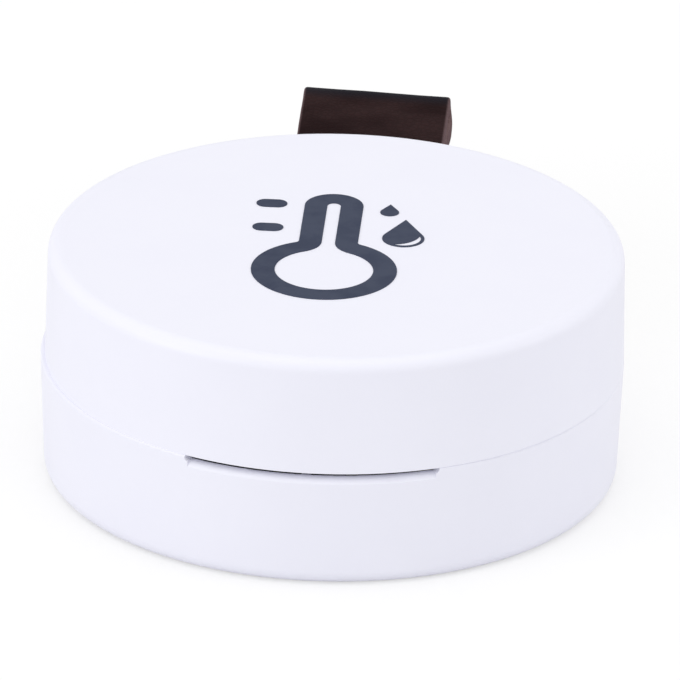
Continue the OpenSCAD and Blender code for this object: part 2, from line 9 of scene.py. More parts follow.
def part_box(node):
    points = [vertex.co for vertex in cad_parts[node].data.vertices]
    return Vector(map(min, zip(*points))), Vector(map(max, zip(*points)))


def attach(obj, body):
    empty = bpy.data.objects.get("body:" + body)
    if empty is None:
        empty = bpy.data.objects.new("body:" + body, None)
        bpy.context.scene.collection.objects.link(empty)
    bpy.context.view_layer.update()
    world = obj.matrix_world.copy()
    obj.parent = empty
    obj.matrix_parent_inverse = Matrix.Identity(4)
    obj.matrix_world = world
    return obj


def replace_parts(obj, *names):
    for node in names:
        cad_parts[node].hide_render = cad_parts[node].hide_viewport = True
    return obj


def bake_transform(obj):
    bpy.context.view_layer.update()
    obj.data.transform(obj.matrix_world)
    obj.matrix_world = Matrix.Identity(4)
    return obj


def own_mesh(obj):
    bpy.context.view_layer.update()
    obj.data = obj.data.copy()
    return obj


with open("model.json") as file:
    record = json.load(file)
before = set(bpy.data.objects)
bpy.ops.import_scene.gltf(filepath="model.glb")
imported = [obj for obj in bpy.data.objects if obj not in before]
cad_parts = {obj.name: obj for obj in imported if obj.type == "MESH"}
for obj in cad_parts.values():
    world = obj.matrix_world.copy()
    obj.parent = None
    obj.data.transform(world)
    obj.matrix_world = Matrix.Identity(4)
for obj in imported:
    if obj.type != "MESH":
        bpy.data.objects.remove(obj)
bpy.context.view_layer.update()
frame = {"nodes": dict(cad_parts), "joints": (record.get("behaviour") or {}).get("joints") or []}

# Base of the case
# The lower half of the puck, injection moulded in white ABS. The mould was finely blasted, so the
# plastic has a faint satin grain. The board stands on its bosses and the strap is pegged on its post.


def feed(tree, socket, value):
    """Links a socket to another, or sets it to a value."""
    if isinstance(value, bpy.types.NodeSocket):
        tree.links.new(value, socket)
    else:
        socket.default_value = value


def put(tree, kind, **settings):
    """A new node of that kind. Names in lower case are its own settings, the others are its inputs."""
    made = tree.nodes.new(kind)
    for name, value in settings.items():
        if name.islower():
            setattr(made, name, value)
        else:
            feed(tree, made.inputs[name.replace("_", " ")], value)
    return made


def on_object(tree):
    """Where a point lies on the object, in metres."""
    return put(tree, "ShaderNodeTexCoord").outputs["Object"]


def tint(tree, share, first, second):
    """A colour between two, by a share from 0 to 1."""
    made = put(tree, "ShaderNodeMix", data_type="RGBA")
    feed(tree, made.inputs[0], share)
    feed(tree, made.inputs[6], first)
    feed(tree, made.inputs[7], second)
    return made.outputs[2]


def between(tree, value, low, high, to_low=0.0, to_high=1.0):
    """How far a value lies between two limits, eased at both ends, as a number between two others."""
    made = put(tree, "ShaderNodeMapRange", interpolation_type="SMOOTHSTEP", Value=value,
               From_Min=low, From_Max=high, To_Min=to_low, To_Max=to_high)
    return made.outputs["Result"]


def cloudy(tree, vector, scale, detail=2.0):
    """Soft random shades from 0 to 1."""
    return put(tree, "ShaderNodeTexNoise", Vector=vector, Scale=scale, Detail=detail).outputs["Fac"]


def texture_group(name, inputs):
    """A shader group with those inputs, which puts out a colour, a roughness and the height of a grain."""
    tree = bpy.data.node_groups.new(name, "ShaderNodeTree")
    for label, (kind, value) in inputs.items():
        socket = tree.interface.new_socket(label, in_out="INPUT", socket_type="NodeSocket" + kind)
        socket.default_value = value
    for label, kind in (("Colour", "Color"), ("Roughness", "Float"), ("Grain", "Float")):
        tree.interface.new_socket(label, in_out="OUTPUT", socket_type="NodeSocket" + kind)
    return tree, tree.nodes.new("NodeGroupInput").outputs, tree.nodes.new("NodeGroupOutput").inputs


moulded, given, result = texture_group("moulded_surface", {
    "Pale": ("Color", (0.8, 0.8, 0.8, 1)), "Deep": ("Color", (0.7, 0.7, 0.7, 1)),
    "Smooth": ("Float", 0.4), "Rough": ("Float", 0.5),
    "Cloud Scale": ("Float", 100.0), "Grain Scale": ("Float", 5000.0)})
place = on_object(moulded)
cloud = between(moulded, cloudy(moulded, place, given["Cloud Scale"], detail=4.0), low=0.3, high=0.7)
gloss = between(moulded, cloud, low=0.0, high=1.0, to_low=given["Smooth"], to_high=given["Rough"])
feed(moulded, result["Colour"], tint(moulded, cloud, given["Pale"], given["Deep"]))
feed(moulded, result["Roughness"], gloss)
feed(moulded, result["Grain"], cloudy(moulded, place, given["Grain Scale"]))


def finish(name, group, values, relief, **shader):
    """A material whose colour, gloss and relief come from a texture group."""
    made = bpy.data.materials.new(name)
    made.use_nodes = True
    tree = made.node_tree
    surface = tree.nodes["Principled BSDF"]
    pattern = put(tree, "ShaderNodeGroup", node_tree=group)
    for label, value in values.items():
        feed(tree, pattern.inputs[label], value)
    bump = put(tree, "ShaderNodeBump", Height=pattern.outputs["Grain"], Distance=relief)
    feed(tree, surface.inputs["Base Color"], pattern.outputs["Colour"])
    feed(tree, surface.inputs["Roughness"], pattern.outputs["Roughness"])
    feed(tree, surface.inputs["Normal"], bump.outputs["Normal"])
    for label, value in shader.items():
        feed(tree, surface.inputs[label.replace("_", " ")], value)
    return made


def dress(made, *names):
    """Gives CAD nodes their finished material."""
    for name in names:
        frame["nodes"][name].data.materials[0] = made


white_abs = finish("satin_white_abs", moulded, {
    "Pale": (0.884, 0.884, 0.974, 1), "Deep": (0.876, 0.876, 0.968, 1), "Smooth": 0.44, "Rough": 0.5,
    "Cloud Scale": 180.0, "Grain Scale": 7000.0}, relief=0.000004)
dress(white_abs, "case_base")

# Circuit board
# A round board of glass-fibre laminate under dark green solder mask, milled to shape with two slits beside
# the sensor's tongue. Its copper shows through the mask, and the milled edge shows the bare laminate.
board_low, board_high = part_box("circuit_board")
mask_skin = 0.00004
track_green = (0.02, 0.075, 0.042, 1)
fibre_dark, fibre_light = (0.33, 0.29, 0.13, 1), (0.46, 0.42, 0.22, 1)


def reckon(tree, operation, *values):
    """The result of one sum on numbers or sockets."""
    made = put(tree, "ShaderNodeMath", operation=operation)
    for socket, value in zip(made.inputs, values):
        feed(tree, socket, value)
    return made.outputs[0]


def lay_over(made, mask, colour):
    """Lays another colour over a material's own, where a mask is 1."""
    tree = made.node_tree
    base = tree.nodes["Principled BSDF"].inputs["Base Color"]
    feed(tree, base, tint(tree, mask, base.links[0].from_socket, colour))


laminate = finish("solder_masked_laminate", moulded, {
    "Pale": (0.008, 0.034, 0.021, 1), "Deep": (0.006, 0.026, 0.016, 1), "Smooth": 0.22, "Rough": 0.34,
    "Cloud Scale": 260.0, "Grain Scale": 2600.0}, relief=0.000006, Coat_Weight=0.3, Coat_Roughness=0.15)
tree = laminate.node_tree
place = on_object(tree)
rings = put(tree, "ShaderNodeTexWave", wave_type="RINGS", rings_direction="Z", Vector=place, Scale=430.0)
lines = between(tree, rings.outputs["Fac"], low=0.62, high=0.7)
stretches = between(tree, cloudy(tree, place, scale=170.0, detail=0.0), low=0.5, high=0.52)
lay_over(laminate, reckon(tree, "MULTIPLY", lines, stretches), track_green)
height = put(tree, "ShaderNodeSeparateXYZ", Vector=place).outputs["Z"]
milled = reckon(tree, "MULTIPLY", reckon(tree, "GREATER_THAN", height, board_low.z + mask_skin),
                reckon(tree, "LESS_THAN", height, board_high.z - mask_skin))
fibres = cloudy(tree, place, scale=3000.0, detail=3.0)
lay_over(laminate, milled, tint(tree, fibres, fibre_dark, fibre_light))
dress(laminate, "circuit_board")

# Aerial and plated holes
# Gold-plated copper etched on the board: the aerial along the rim, and rows of small plated holes that
# tie the copper of both sides together along the free stretches of the edge.
hole_r, plating_r, hole_from_edge = 0.0002, 0.00007, 0.0005
hole_row_r = -board_low.y - hole_from_edge
# First angle, last angle and count of each row of holes
hole_rows = ((11, 31, 8), (49, 64, 6), (116, 131, 6), (149, 169, 8), (190, 205, 6), (335, 349, 6))


def stretch(tree, vector, by):
    """A vector multiplied by a number, or along each axis by another vector."""
    made = put(tree, "ShaderNodeVectorMath", operation="MULTIPLY")
    feed(tree, made.inputs[0], vector)
    feed(tree, made.inputs[1], by)
    return made.outputs[0]


drawn, given, result = texture_group("drawn_metal", {
    "Pale": ("Color", (0.7, 0.7, 0.7, 1)), "Deep": ("Color", (0.6, 0.6, 0.6, 1)),
    "Smooth": ("Float", 0.2), "Rough": ("Float", 0.35), "Streaks": ("Vector", (900.0, 900.0, 900.0))})
streak = cloudy(drawn, stretch(drawn, on_object(drawn), given["Streaks"]), scale=1.0, detail=5.0)
gloss = between(drawn, streak, low=0.25, high=0.75, to_low=given["Smooth"], to_high=given["Rough"])
feed(drawn, result["Colour"], tint(drawn, streak, given["Pale"], given["Deep"]))
feed(drawn, result["Roughness"], gloss)
feed(drawn, result["Grain"], streak)

gold = finish("gilded_copper", drawn, {
    "Pale": (0.86, 0.6, 0.26, 1), "Deep": (0.74, 0.49, 0.19, 1), "Smooth": 0.22, "Rough": 0.36,
    "Streaks": (2500.0, 2500.0, 2500.0)}, relief=0.000002, Metallic=1.0)
dress(gold, "antenna_trace")


def geometry_group(name, inputs):
    """A geometry tree that takes a mesh and those inputs and gives a mesh."""
    tree = bpy.data.node_groups.new(name, "GeometryNodeTree")
    tree.interface.new_socket("Geometry", in_out="INPUT", socket_type="NodeSocketGeometry")
    for label, kind in inputs.items():
        tree.interface.new_socket(label, in_out="INPUT", socket_type="NodeSocket" + kind)
    tree.interface.new_socket("Geometry", in_out="OUTPUT", socket_type="NodeSocketGeometry")
    return tree, tree.nodes.new("NodeGroupInput").outputs, tree.nodes.new("NodeGroupOutput").inputs


def end_tree(tree, geometry, material, result):
    """Ends a tree in one smooth mesh with its material."""
    smooth = put(tree, "GeometryNodeSetShadeSmooth", Geometry=geometry).outputs[0]
    whole = put(tree, "GeometryNodeRealizeInstances", Geometry=smooth).outputs[0]
    finished = put(tree, "GeometryNodeSetMaterial", Geometry=whole, Material=material).outputs[0]
    feed(tree, result["Geometry"], finished)


def seed(name, points=(), edges=(), faces=()):
    """An object with the points that a tree works on, or with faces of its own."""
    mesh = bpy.data.meshes.new(name)
    mesh.from_pydata([tuple(p) for p in points], list(edges), list(faces))
    made = bpy.data.objects.new(name, mesh)
    bpy.context.scene.collection.objects.link(made)
    return made


def grow(piece, tree, **values):
    """Adds a tree to a piece with its named inputs set."""
    modifier = piece.modifiers.new(tree.name, "NODES")
    modifier.node_group = tree
    for item in tree.interface.items_tree:
        label = item.name.replace(" ", "_")
        if item.in_out == "INPUT" and label in values:
            modifier[item.identifier] = values[label]


def settle(piece):
    """Turns a piece's trees and modifiers into its plain mesh."""
    shown = piece.evaluated_get(bpy.context.evaluated_depsgraph_get())
    mesh = bpy.data.meshes.new_from_object(shown)
    mesh.name = piece.name
    piece.modifiers.clear()
    piece.data = mesh
    return piece


def circle(tree, facets, radius):
    """A round curve in a geometry tree."""
    made = put(tree, "GeometryNodeCurvePrimitiveCircle", Resolution=facets, Radius=radius)
    return made.outputs["Curve"]


hole_row, given, result = geometry_group("plated_hole_row", {
    "Count": "Int", "Row Radius": "Float", "From": "Float", "Sweep": "Float", "Height": "Float",
    "Hole Radius": "Float", "Plating": "Float", "Material": "Material"})
row = put(hole_row, "GeometryNodeCurveArc", Resolution=given["Count"], Radius=given["Row Radius"],
          Start_Angle=given["From"], Sweep_Angle=given["Sweep"]).outputs["Curve"]
lift = put(hole_row, "ShaderNodeCombineXYZ", Z=given["Height"]).outputs[0]
row = put(hole_row, "GeometryNodeSetPosition", Geometry=row, Offset=lift).outputs[0]
rim = circle(hole_row, facets=20, radius=given["Hole Radius"])
plating = circle(hole_row, facets=8, radius=given["Plating"])
ring = put(hole_row, "GeometryNodeCurveToMesh", Curve=rim, Profile_Curve=plating).outputs["Mesh"]
holes = put(hole_row, "GeometryNodeInstanceOnPoints", Points=row, Instance=ring).outputs[0]
rows = put(hole_row, "GeometryNodeJoinGeometry", Geometry=given["Geometry"])
feed(hole_row, rows.inputs[0], holes)
end_tree(hole_row, rows.outputs[0], given["Material"], result)

plated_holes = seed("plated_holes")
for first, last, count in hole_rows:
    grow(plated_holes, hole_row, Count=count, Row_Radius=hole_row_r, From=math.radians(first),
         Sweep=math.radians(last - first), Height=board_high.z, Hole_Radius=hole_r, Plating=plating_r,
         Material=gold)
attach(settle(plated_holes), "base")

# Chips and crystals
# Standard parts soldered to the board: black moulded chips, two crystals in drawn steel cans, ceramic
# capacitors with tinned ends, and a small lamp cast in pale resin. Most of them sit under the board.
epoxy = finish("black_moulding_compound", moulded, {
    "Pale": (0.018, 0.018, 0.02, 1), "Deep": (0.012, 0.012, 0.014, 1), "Smooth": 0.5, "Rough": 0.66,
    "Cloud Scale": 900.0, "Grain Scale": 9000.0}, relief=0.00001, Specular_IOR_Level=0.35)
dress(epoxy, "humidity_sensor", "radio_chip", "chip_resistors", "switch_body")

can_steel = finish("drawn_crystal_can", drawn, {
    "Pale": (0.66, 0.65, 0.63, 1), "Deep": (0.52, 0.51, 0.5, 1), "Smooth": 0.25, "Rough": 0.42,
    "Streaks": (900.0, 9000.0, 900.0)}, relief=0.000003, Metallic=1.0)
dress(can_steel, "radio_crystal", "clock_crystal")

tin_l, tin_blur, tin_grey = 0.0003, 0.00002, (0.72, 0.71, 0.69, 1)
end_low, end_high = (corner.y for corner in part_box("chip_capacitors"))
tin_from = (end_high - end_low) / 2 - tin_l

ceramic = finish("tinned_ceramic", moulded, {
    "Pale": (0.3, 0.19, 0.11, 1), "Deep": (0.24, 0.15, 0.085, 1), "Smooth": 0.45, "Rough": 0.6,
    "Cloud Scale": 1500.0, "Grain Scale": 9000.0}, relief=0.000005)
tree = ceramic.node_tree
along = put(tree, "ShaderNodeSeparateXYZ", Vector=on_object(tree)).outputs["Y"]
from_middle = reckon(tree, "ABSOLUTE", reckon(tree, "SUBTRACT", along, (end_low + end_high) / 2))
tinned = between(tree, from_middle, low=tin_from - tin_blur, high=tin_from + tin_blur)
lay_over(ceramic, tinned, tin_grey)
feed(tree, tree.nodes["Principled BSDF"].inputs["Metallic"], tinned)
dress(ceramic, "chip_capacitors")

resin = finish("cast_lamp_resin", moulded, {
    "Pale": (0.84, 0.78, 0.5, 1), "Deep": (0.78, 0.7, 0.4, 1), "Smooth": 0.12, "Rough": 0.2,
    "Cloud Scale": 1500.0, "Grain Scale": 4000.0}, relief=0.000002, Coat_Weight=0.4)
dress(resin, "status_led")

# Solder joints
# Small fillets of solder beside the feet of the parts on the board's upper side, each a flattened bead
# that froze from the melt.
bead_r, bead_flat, bead_seed = 0.00026, 0.8, 4
# The beads lie just off a part's side, and along it at these steps from its middle
foot_out, lamp_half_l = 0.00008, 0.0008
sensor_foot, switch_foot, contact_foot = 0.00075, 0.0009, 0.0007

solder = finish("bright_solder", drawn, {
    "Pale": (0.74, 0.74, 0.75, 1), "Deep": (0.58, 0.58, 0.6, 1), "Smooth": 0.2, "Rough": 0.38,
    "Streaks": (3500.0, 3500.0, 3500.0)}, relief=0.000004, Metallic=1.0)


def chance(tree, low, high, number):
    """A random value between two limits for each point, with a fixed seed."""
    made = put(tree, "FunctionNodeRandomValue", data_type="FLOAT", Seed=number)
    feed(tree, made.inputs[2], low)
    feed(tree, made.inputs[3], high)
    return made.outputs[1]


beads, given, result = geometry_group("solder_beads", {
    "Bead Radius": "Float", "Bead Height": "Float", "Seed": "Int", "Material": "Material"})
ball = put(beads, "GeometryNodeMeshUVSphere", Segments=16, Rings=10, Radius=given["Bead Radius"])
flat = put(beads, "ShaderNodeCombineXYZ", X=1.0, Y=1.0, Z=given["Bead Height"]).outputs[0]
size = stretch(beads, flat, chance(beads, low=0.85, high=1.15, number=given["Seed"]))
spread = put(beads, "GeometryNodeInstanceOnPoints", Points=given["Geometry"], Instance=ball.outputs["Mesh"],
             Scale=size)
end_tree(beads, spread.outputs[0], given["Material"], result)


def on_board(node):
    """The middle of a CAD node, brought to the board's upper face, and half the node's size."""
    low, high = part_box(node)
    middle = (low + high) / 2
    return Vector((middle.x, middle.y, board_high.z)), (high - low) / 2


sensor_at, sensor_half = on_board("humidity_sensor")
switch_at, switch_half = on_board("switch_body")
contact_at, contact_half = on_board("positive_contact")
lamp_at = on_board("status_led")[0]
lamp_along = Vector((-lamp_at.y, lamp_at.x, 0)).normalized()
ends = (-1, 1)
feet = [sensor_at + Vector((side * (sensor_half.x + foot_out), end * sensor_foot, 0))
        for side in ends for end in ends]
feet += [switch_at + Vector((side * switch_foot, end * (switch_half.y + foot_out), 0))
         for side in ends for end in ends]
feet += [contact_at + Vector((-contact_half.x - foot_out, step * contact_foot, 0)) for step in range(-2, 3)]
feet += [lamp_at + lamp_along * side * (lamp_half_l + foot_out) for side in ends]
solder_joints = seed("solder_joints", feet)
grow(solder_joints, beads, Bead_Radius=bead_r, Bead_Height=bead_flat, Seed=bead_seed, Material=solder)
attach(settle(solder_joints), "base")

# Board screws
# Four pan-head screws of zinc-plated steel hold the board on its bosses. The heads are cold formed, with
# a crowned top and a cross recess, and each stopped at its own angle when it was driven home.
screws_low, screws_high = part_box("board_screws")
head_h, shank_l = screws_high.z - board_high.z, board_high.z - screws_low.z
head_r, shank_r, crown_h, crown_steps = 0.0015, 0.0008, 0.35 * head_h, 10
recess_w, recess_l, recess_d = 0.0004, 0.0018, 0.0005
screw_facets, screw_seed, crease = 40, 7, math.radians(35)
# The screws stand midway between the holder and the board's edge
screw_ring_r = (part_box("cell_holder")[1].y - board_low.y) / 2
screw_angles = (40, 140, 214, 326)

plated = finish("zinc_plated_steel", drawn, {
    "Pale": (0.62, 0.62, 0.63, 1), "Deep": (0.45, 0.45, 0.47, 1), "Smooth": 0.22, "Rough": 0.4,
    "Streaks": (5000.0, 5000.0, 5000.0)}, relief=0.000003, Metallic=1.0)


def lathe(name, profile, facets):
    """A closed round piece, from points of radius and height that start at its top and end on its axis."""
    angles = [2 * math.pi * k / facets for k in range(facets)]
    points, rings, faces = [], [], []
    for radius, height in profile:
        start = len(points)
        if radius > 0:
            rings.append([start + k for k in range(facets)])
            points += [(radius * math.cos(a), radius * math.sin(a), height) for a in angles]
        else:
            rings.append([start] * facets)
            points.append((0, 0, height))
    for ring, after in zip(rings, rings[1:]):
        for k in range(facets):
            corners = (ring[k - 1], after[k - 1], after[k], ring[k])
            faces.append(tuple(dict.fromkeys(corners)))
    return seed(name, points, faces=faces)


bows = [math.pi / 2 * i / crown_steps for i in range(crown_steps + 1)]
crown = [(head_r * math.sin(a), head_h - crown_h * (1 - math.cos(a))) for a in bows]
shank = [(head_r, 0.0), (shank_r, 0.0), (shank_r, -shank_l), (0.0, -shank_l)]
screw = lathe("screw_blank", crown + shank, screw_facets)
for bar_x, bar_y in ((recess_l, recess_w), (recess_w, recess_l)):
    bar = seed("recess_bar")
    cutter = bmesh.new()
    bmesh.ops.create_cube(cutter, size=1.0)
    cutter.transform(Matrix.Diagonal((bar_x, bar_y, 2 * recess_d, 1)))
    cutter.transform(Matrix.Translation((0, 0, head_h)))
    cutter.to_mesh(bar.data)
    cutter.free()
    recess = screw.modifiers.new("cross_recess", "BOOLEAN")
    recess.operation, recess.object, recess.solver = "DIFFERENCE", bar, "EXACT"
    settle(screw)
    bpy.data.objects.remove(bar)

drive, given, result = geometry_group("driven_screws", {
    "Screw": "Object", "Seed": "Int", "Material": "Material"})
blank = put(drive, "GeometryNodeObjectInfo", Object=given["Screw"]).outputs["Geometry"]
stop = chance(drive, low=0.0, high=math.pi, number=given["Seed"])
angle = put(drive, "ShaderNodeCombineXYZ", Z=stop).outputs[0]
driven = put(drive, "GeometryNodeInstanceOnPoints", Points=given["Geometry"], Instance=blank, Rotation=angle)
end_tree(drive, driven.outputs[0], given["Material"], result)

pan_screws = seed("pan_screws", [
    (screw_ring_r * math.cos(a), screw_ring_r * math.sin(a), board_high.z)
    for a in map(math.radians, screw_angles)])
grow(pan_screws, drive, Screw=screw, Seed=screw_seed, Material=plated)
settle(pan_screws).data.set_sharp_from_angle(angle=crease)
bpy.data.objects.remove(screw)
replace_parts(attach(pan_screws, "base"), "board_screws")

# Cell holder and contacts
# The holder is moulded in black glass-filled nylon. A bent strip of plated spring steel touches the
# side of the cell, and a bowed one lies under it.
nylon = finish("black_glass_filled_nylon", moulded, {
    "Pale": (0.022, 0.022, 0.024, 1), "Deep": (0.014, 0.014, 0.016, 1), "Smooth": 0.42, "Rough": 0.58,
    "Cloud Scale": 350.0, "Grain Scale": 6000.0}, relief=0.000012)
dress(nylon, "cell_holder")

spring = finish("plated_spring_steel", drawn, {
    "Pale": (0.74, 0.7, 0.62, 1), "Deep": (0.58, 0.55, 0.5, 1), "Smooth": 0.18, "Rough": 0.34,
    "Streaks": (700.0, 9000.0, 700.0)}, relief=0.000003, Metallic=1.0)
dress(spring, "positive_contact", "negative_contact", "switch_cover")

# Coin cell
# A lithium coin cell: a deep-drawn nickel-plated can, turned over a dark seal and a smaller cap. Its
# top is satin from the press, with a plain plus sign etched in it.
cell_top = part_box("cell_can")[1].z
plus_arm, plus_half_w, etched_skin = 0.0032, 0.00042, 0.00005
etched_grey = (0.2, 0.2, 0.21, 1)

nickel = finish("nickel_plated_can", drawn, {
    "Pale": (0.72, 0.72, 0.73, 1), "Deep": (0.6, 0.6, 0.62, 1), "Smooth": 0.2, "Rough": 0.36,
    "Streaks": (300.0, 7000.0, 300.0)}, relief=0.000002, Metallic=1.0)
tree = nickel.node_tree
axes = put(tree, "ShaderNodeSeparateXYZ", Vector=on_object(tree)).outputs
reach = [reckon(tree, "ABSOLUTE", axes[name]) for name in "XY"]
arms = [reckon(tree, "MULTIPLY", reckon(tree, "LESS_THAN", reach[i], plus_arm),
               reckon(tree, "LESS_THAN", reach[1 - i], plus_half_w)) for i in (0, 1)]
on_top = reckon(tree, "GREATER_THAN", axes["Z"], cell_top - etched_skin)
lay_over(nickel, reckon(tree, "MULTIPLY", reckon(tree, "MAXIMUM", *arms), on_top), etched_grey)
dress(nickel, "cell_can", "cell_cap")

seal = finish("dark_seal", moulded, {
    "Pale": (0.035, 0.035, 0.05, 1), "Deep": (0.025, 0.025, 0.036, 1), "Smooth": 0.4, "Rough": 0.55,
    "Cloud Scale": 600.0, "Grain Scale": 7000.0}, relief=0.000008)
dress(seal, "cell_gasket")

lithium = finish("lithium_disc", drawn, {
    "Pale": (0.62, 0.62, 0.64, 1), "Deep": (0.42, 0.42, 0.45, 1), "Smooth": 0.45, "Rough": 0.65,
    "Streaks": (900.0, 2500.0, 900.0)}, relief=0.00001, Metallic=1.0)
dress(lithium, "cell_anode")

pellet = finish("pressed_pellet", moulded, {
    "Pale": (0.012, 0.012, 0.013, 1), "Deep": (0.007, 0.007, 0.008, 1), "Smooth": 0.75, "Rough": 0.9,
    "Cloud Scale": 1200.0, "Grain Scale": 5000.0}, relief=0.00003)
dress(pellet, "cell_cathode")

# Pairing switch
# A bought switch on the board: a moulded body and a steel cover, both finished above, a plunger moulded
# in pale plastic, and under it a snap dome pressed from spring steel. In the switch the dome flattens under
# the plunger; here it is drawn at rest and fixed to the base.
ivory = finish("ivory_plunger", moulded, {
    "Pale": (0.72, 0.68, 0.58, 1), "Deep": (0.66, 0.62, 0.52, 1), "Smooth": 0.35, "Rough": 0.5,
    "Cloud Scale": 900.0, "Grain Scale": 8000.0}, relief=0.000005)
dress(ivory, "switch_plunger")

dome_low, dome_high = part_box("switch_dome")
dome_at = Vector(((dome_low.x + dome_high.x) / 2, (dome_low.y + dome_high.y) / 2, dome_low.z))
dome_r, dome_h = (dome_high.x - dome_low.x) / 2, dome_high.z - dome_low.z
dome_sheet, dome_kept, dome_steps, dome_facets = 0.00008, 0.4, 10, 48
hollow_r, hollow_h = dome_r * math.sqrt(1 - dome_sheet / dome_h), dome_h - dome_sheet

shares = [i / dome_steps for i in range(dome_steps + 1)]
dome_outside = [(dome_r * s, dome_h * (1 - s * s)) for s in shares]
dome_inside = [(hollow_r * s, hollow_h * (1 - s * s)) for s in reversed(shares)]
snap_dome = lathe("snap_dome", dome_outside + dome_inside, dome_facets)
snap_dome.data.transform(Matrix.Translation(dome_at))
snap_dome.data.shade_smooth()
snap_dome.data.set_sharp_from_angle(angle=crease)
snap_dome.data.materials.append(spring)
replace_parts(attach(snap_dome, "base"), "switch_dome")
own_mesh(snap_dome)

# Leather strap
# One strip of dark brown leather, cut from a hide with its edges left raw. Both ends are pegged on the
# base's post, one on the other, and the strip leaves the case as a narrow loop with a soft fold.
root_low, root_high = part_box("strap_root")
strap_w, layer_t = root_high.x - root_low.x, (root_high.z - root_low.z) / 2
layer_clear, edge_r = 0.00002, 0.00022
bend = next(joint for joint in frame["joints"] if joint["name"] == "strap_bend")
bend_at = Vector(bend["pos_m"][1:])
upper_z, lower_z = bend_at.y + layer_t / 2, bend_at.y - layer_t / 2
loop_l, loop_rise, layer_gap = 0.01885, math.radians(5.7), 0.0003
bend_r, bend_half_l, path_step, least_steps = 0.012, 0.0013, 0.0002, 6
# The loop leans to one side. Its lower layer bulges aside, between these points of the path past the fold
fold_tilt, bulge = math.radians(1.6), 0.00016
bulge_rise, bulge_fall = (-3, 3), (8, 20)
ripple, ripple_scale = 0.00012, 260.0
hide_dark, hide_light = (0.0135, 0.0042, 0.0046, 1), (0.029, 0.0118, 0.0121, 1)
# Painted shade on the next line: one colour darkens the grain's furrows, the other darkens the fold's crest
# and tints it bluish as a painted reflection
furrow_painted_shade, painted_fold_shade = (0.009, 0.0035, 0.0038, 1), (0.009, 0.0105, 0.017, 1)
# The band of painted shade and cool painted reflection along the fold: where it starts to fade, where it is
# gone, and its strength
fold_band, fold_fade, painted_fold_share = 0.0012, 0.0028, 0.8
flesh_dark, flesh_light = (0.16, 0.1, 0.1, 1), (0.3, 0.2, 0.2, 1)
edge_dark, edge_light = (0.075, 0.043, 0.044, 1), (0.19, 0.126, 0.134, 1)
# The furrow share sets how strongly the grain's furrows are painted darker as shade
hide_relief, pebble_share, pore_share, crease_share, furrow_shade_share = 0.000018, 0.5, 0.2, -0.4, 0.3


def heading(angle):
    """The direction at an angle from level, in Y and Z."""
    return Vector((math.cos(angle), math.sin(angle)))


def run(first, last):
    """Points of a straight stretch, without its last one."""
    count = max(1, round((last - first).length / path_step))
    return [first.lerp(last, i / count) for i in range(count)]


def turn(centre, radius, first, last):
    """Points of an arc between two angles, without its last one."""
    count = max(least_steps, round(abs(last - first) * radius / path_step))
    return [centre + radius * heading(first + (last - first) * i / count) for i in range(count)]


def strap_line():
    """Points of the strip's middle from its upper end round the fold to its lower end, in Y and Z."""
    quarter = math.pi / 2
    spread = math.asin(layer_gap / loop_l)
    rise, fall = loop_rise + spread, loop_rise - spread
    fold, fold_r = bend_at + loop_l * heading(loop_rise), layer_gap + layer_t / 2

    def corner(level, side, lean):
        """Where a layer of the loop, produced, meets the level layer it comes from."""
        start = bend_at + side * layer_t / 2 * heading(lean + quarter)
        return Vector((start.x + (level - start.y) / math.tan(lean), level))

    up, down = corner(upper_z, 1, rise), corner(lower_z, -1, fall)
    up_ease, down_ease = bend_r * math.tan(rise / 2), bend_r * math.tan(fall / 2)
    up_start, down_end = up - Vector((up_ease, 0)), down - Vector((down_ease, 0))
    upper_end, lower_end = Vector((root_low.y, upper_z)), Vector((root_low.y, lower_z))
    return (run(upper_end, up_start)
            + turn(up_start + Vector((0, bend_r)), bend_r, -quarter, rise - quarter)
            + run(up + up_ease * heading(rise), fold + fold_r * heading(rise + quarter))
            + turn(fold, fold_r, rise + quarter, fall - quarter)
            + run(fold + fold_r * heading(fall - quarter), down + down_ease * heading(fall))
            + turn(down_end + Vector((0, bend_r)), bend_r, fall - quarter, -quarter)
            + run(down_end, lower_end) + [lower_end])


def ease(value, low, high):
    """A smooth rise from 0 to 1 between two limits."""
    share = min(1.0, max(0.0, (value - low) / (high - low)))
    return share * share * (3 - 2 * share)


line = strap_line()
half = len(line) / 2
fold_at = sum((b - a).length for a, b in zip(line, line[1:])) / 2
path, across = [], []
for i, point in enumerate(line):
    out = ease(point.x, bend_at.x, bend_at.x + loop_l)
    past_fold = i - half
    aside = bulge * (ease(past_fold, *bulge_rise) - ease(past_fold, *bulge_fall))
    lean = fold_tilt * out
    path.append((aside * out, point.x, point.y))
    across += (math.cos(lean), 0.0, -math.sin(lean))
strap = seed("leather_strap", path, [(i, i + 1) for i in range(len(path) - 1)])
strap.data.attributes.new("across", "FLOAT_VECTOR", "POINT").data.foreach_set("vector", across)


def remember(tree, geometry, kind, value):
    """Keeps a value on a curve's points, so that the mesh swept from the curve still has it."""
    made = put(tree, "GeometryNodeCaptureAttribute", Geometry=geometry)
    made.capture_items.new(kind, "Kept")
    feed(tree, made.inputs[1], value)
    return made.outputs[0], made.outputs[1]


